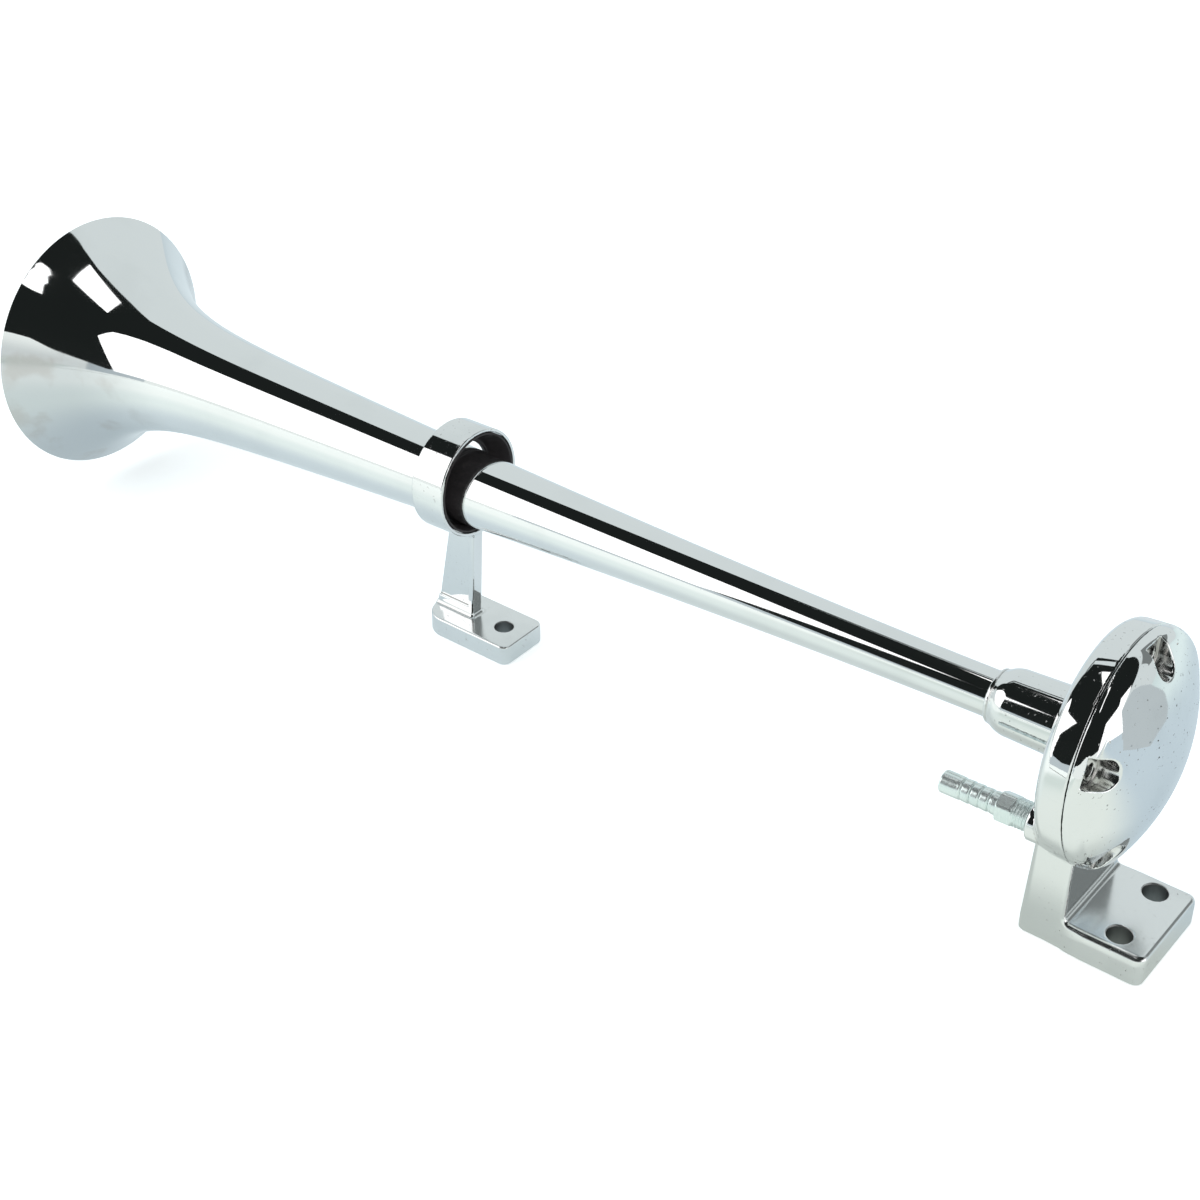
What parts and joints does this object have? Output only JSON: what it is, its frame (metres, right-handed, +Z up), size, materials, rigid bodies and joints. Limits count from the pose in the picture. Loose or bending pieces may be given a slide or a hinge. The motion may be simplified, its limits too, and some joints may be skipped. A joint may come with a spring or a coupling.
{
  "type": "air horn",
  "caption": "Chromed single-trumpet air horn: long flared trumpet in a round diaphragm housing with hose barb, footed leg and a ring bracket that slides and swivels on a rubber bushing.",
  "frame": {"origin": "on the mounting plane, midway between the two bolt holes in the underside of the housing's foot", "axes": "+X horizontally from the trumpet's mouth towards the cover, +Z up from the mounting plane, +Y to the side away from the hose barb. The trumpet's own axis slopes 1.36 degrees down towards the mouth."},
  "size_m": [0.4399, 0.0936, 0.1003],
  "materials": {
    "chrome_plate": "mirror chrome over a casting, satin on the flat faces of the feet",
    "spring_steel": "smooth rolled spring steel",
    "gasket_rubber": "matt sheet gasket",
    "zinc_plate": "blue-white zinc plating, semi-matt",
    "screw_steel": "bright nickel-plated screw steel",
    "bushing_rubber": "matt black rubber"
  },
  "bodies": {
    "horn": {"trumpet_horn": "chrome_plate", "driver_body": "chrome_plate", "driver_cover": "chrome_plate", "housing_gasket": "gasket_rubber", "cover_gasket": "gasket_rubber", "hose_barb": "zinc_plate", "cover_screw_1": "screw_steel", "cover_screw_2": "screw_steel", "cover_screw_3": "screw_steel", "cover_screw_4": "screw_steel", "cover_screw_5": "screw_steel"},
    "diaphragm": {"diaphragm": "spring_steel"},
    "bushing": {"bracket_bushing": "bushing_rubber"},
    "bracket": {"front_bracket": "chrome_plate"}
  },
  "joints": [
    {"name": "diaphragm_flex", "type": "slide", "parent": "horn", "child": "diaphragm", "axis": [0.9997, 0, 0.0237], "range_m": [-0.0002, 0.0002], "stiffness_N_per_m": 4000},
    {"name": "bushing_slide", "type": "slide", "parent": "horn", "child": "bushing", "axis": [0.9997, 0, 0.0237], "range_m": [-0.004, 0.025]},
    {"name": "bracket_swivel", "type": "hinge", "parent": "bushing", "child": "bracket", "pos_m": [-0.2498, 0, 0.06036], "axis": [0.9997, 0, 0.0237], "continuous": true}
  ]
}
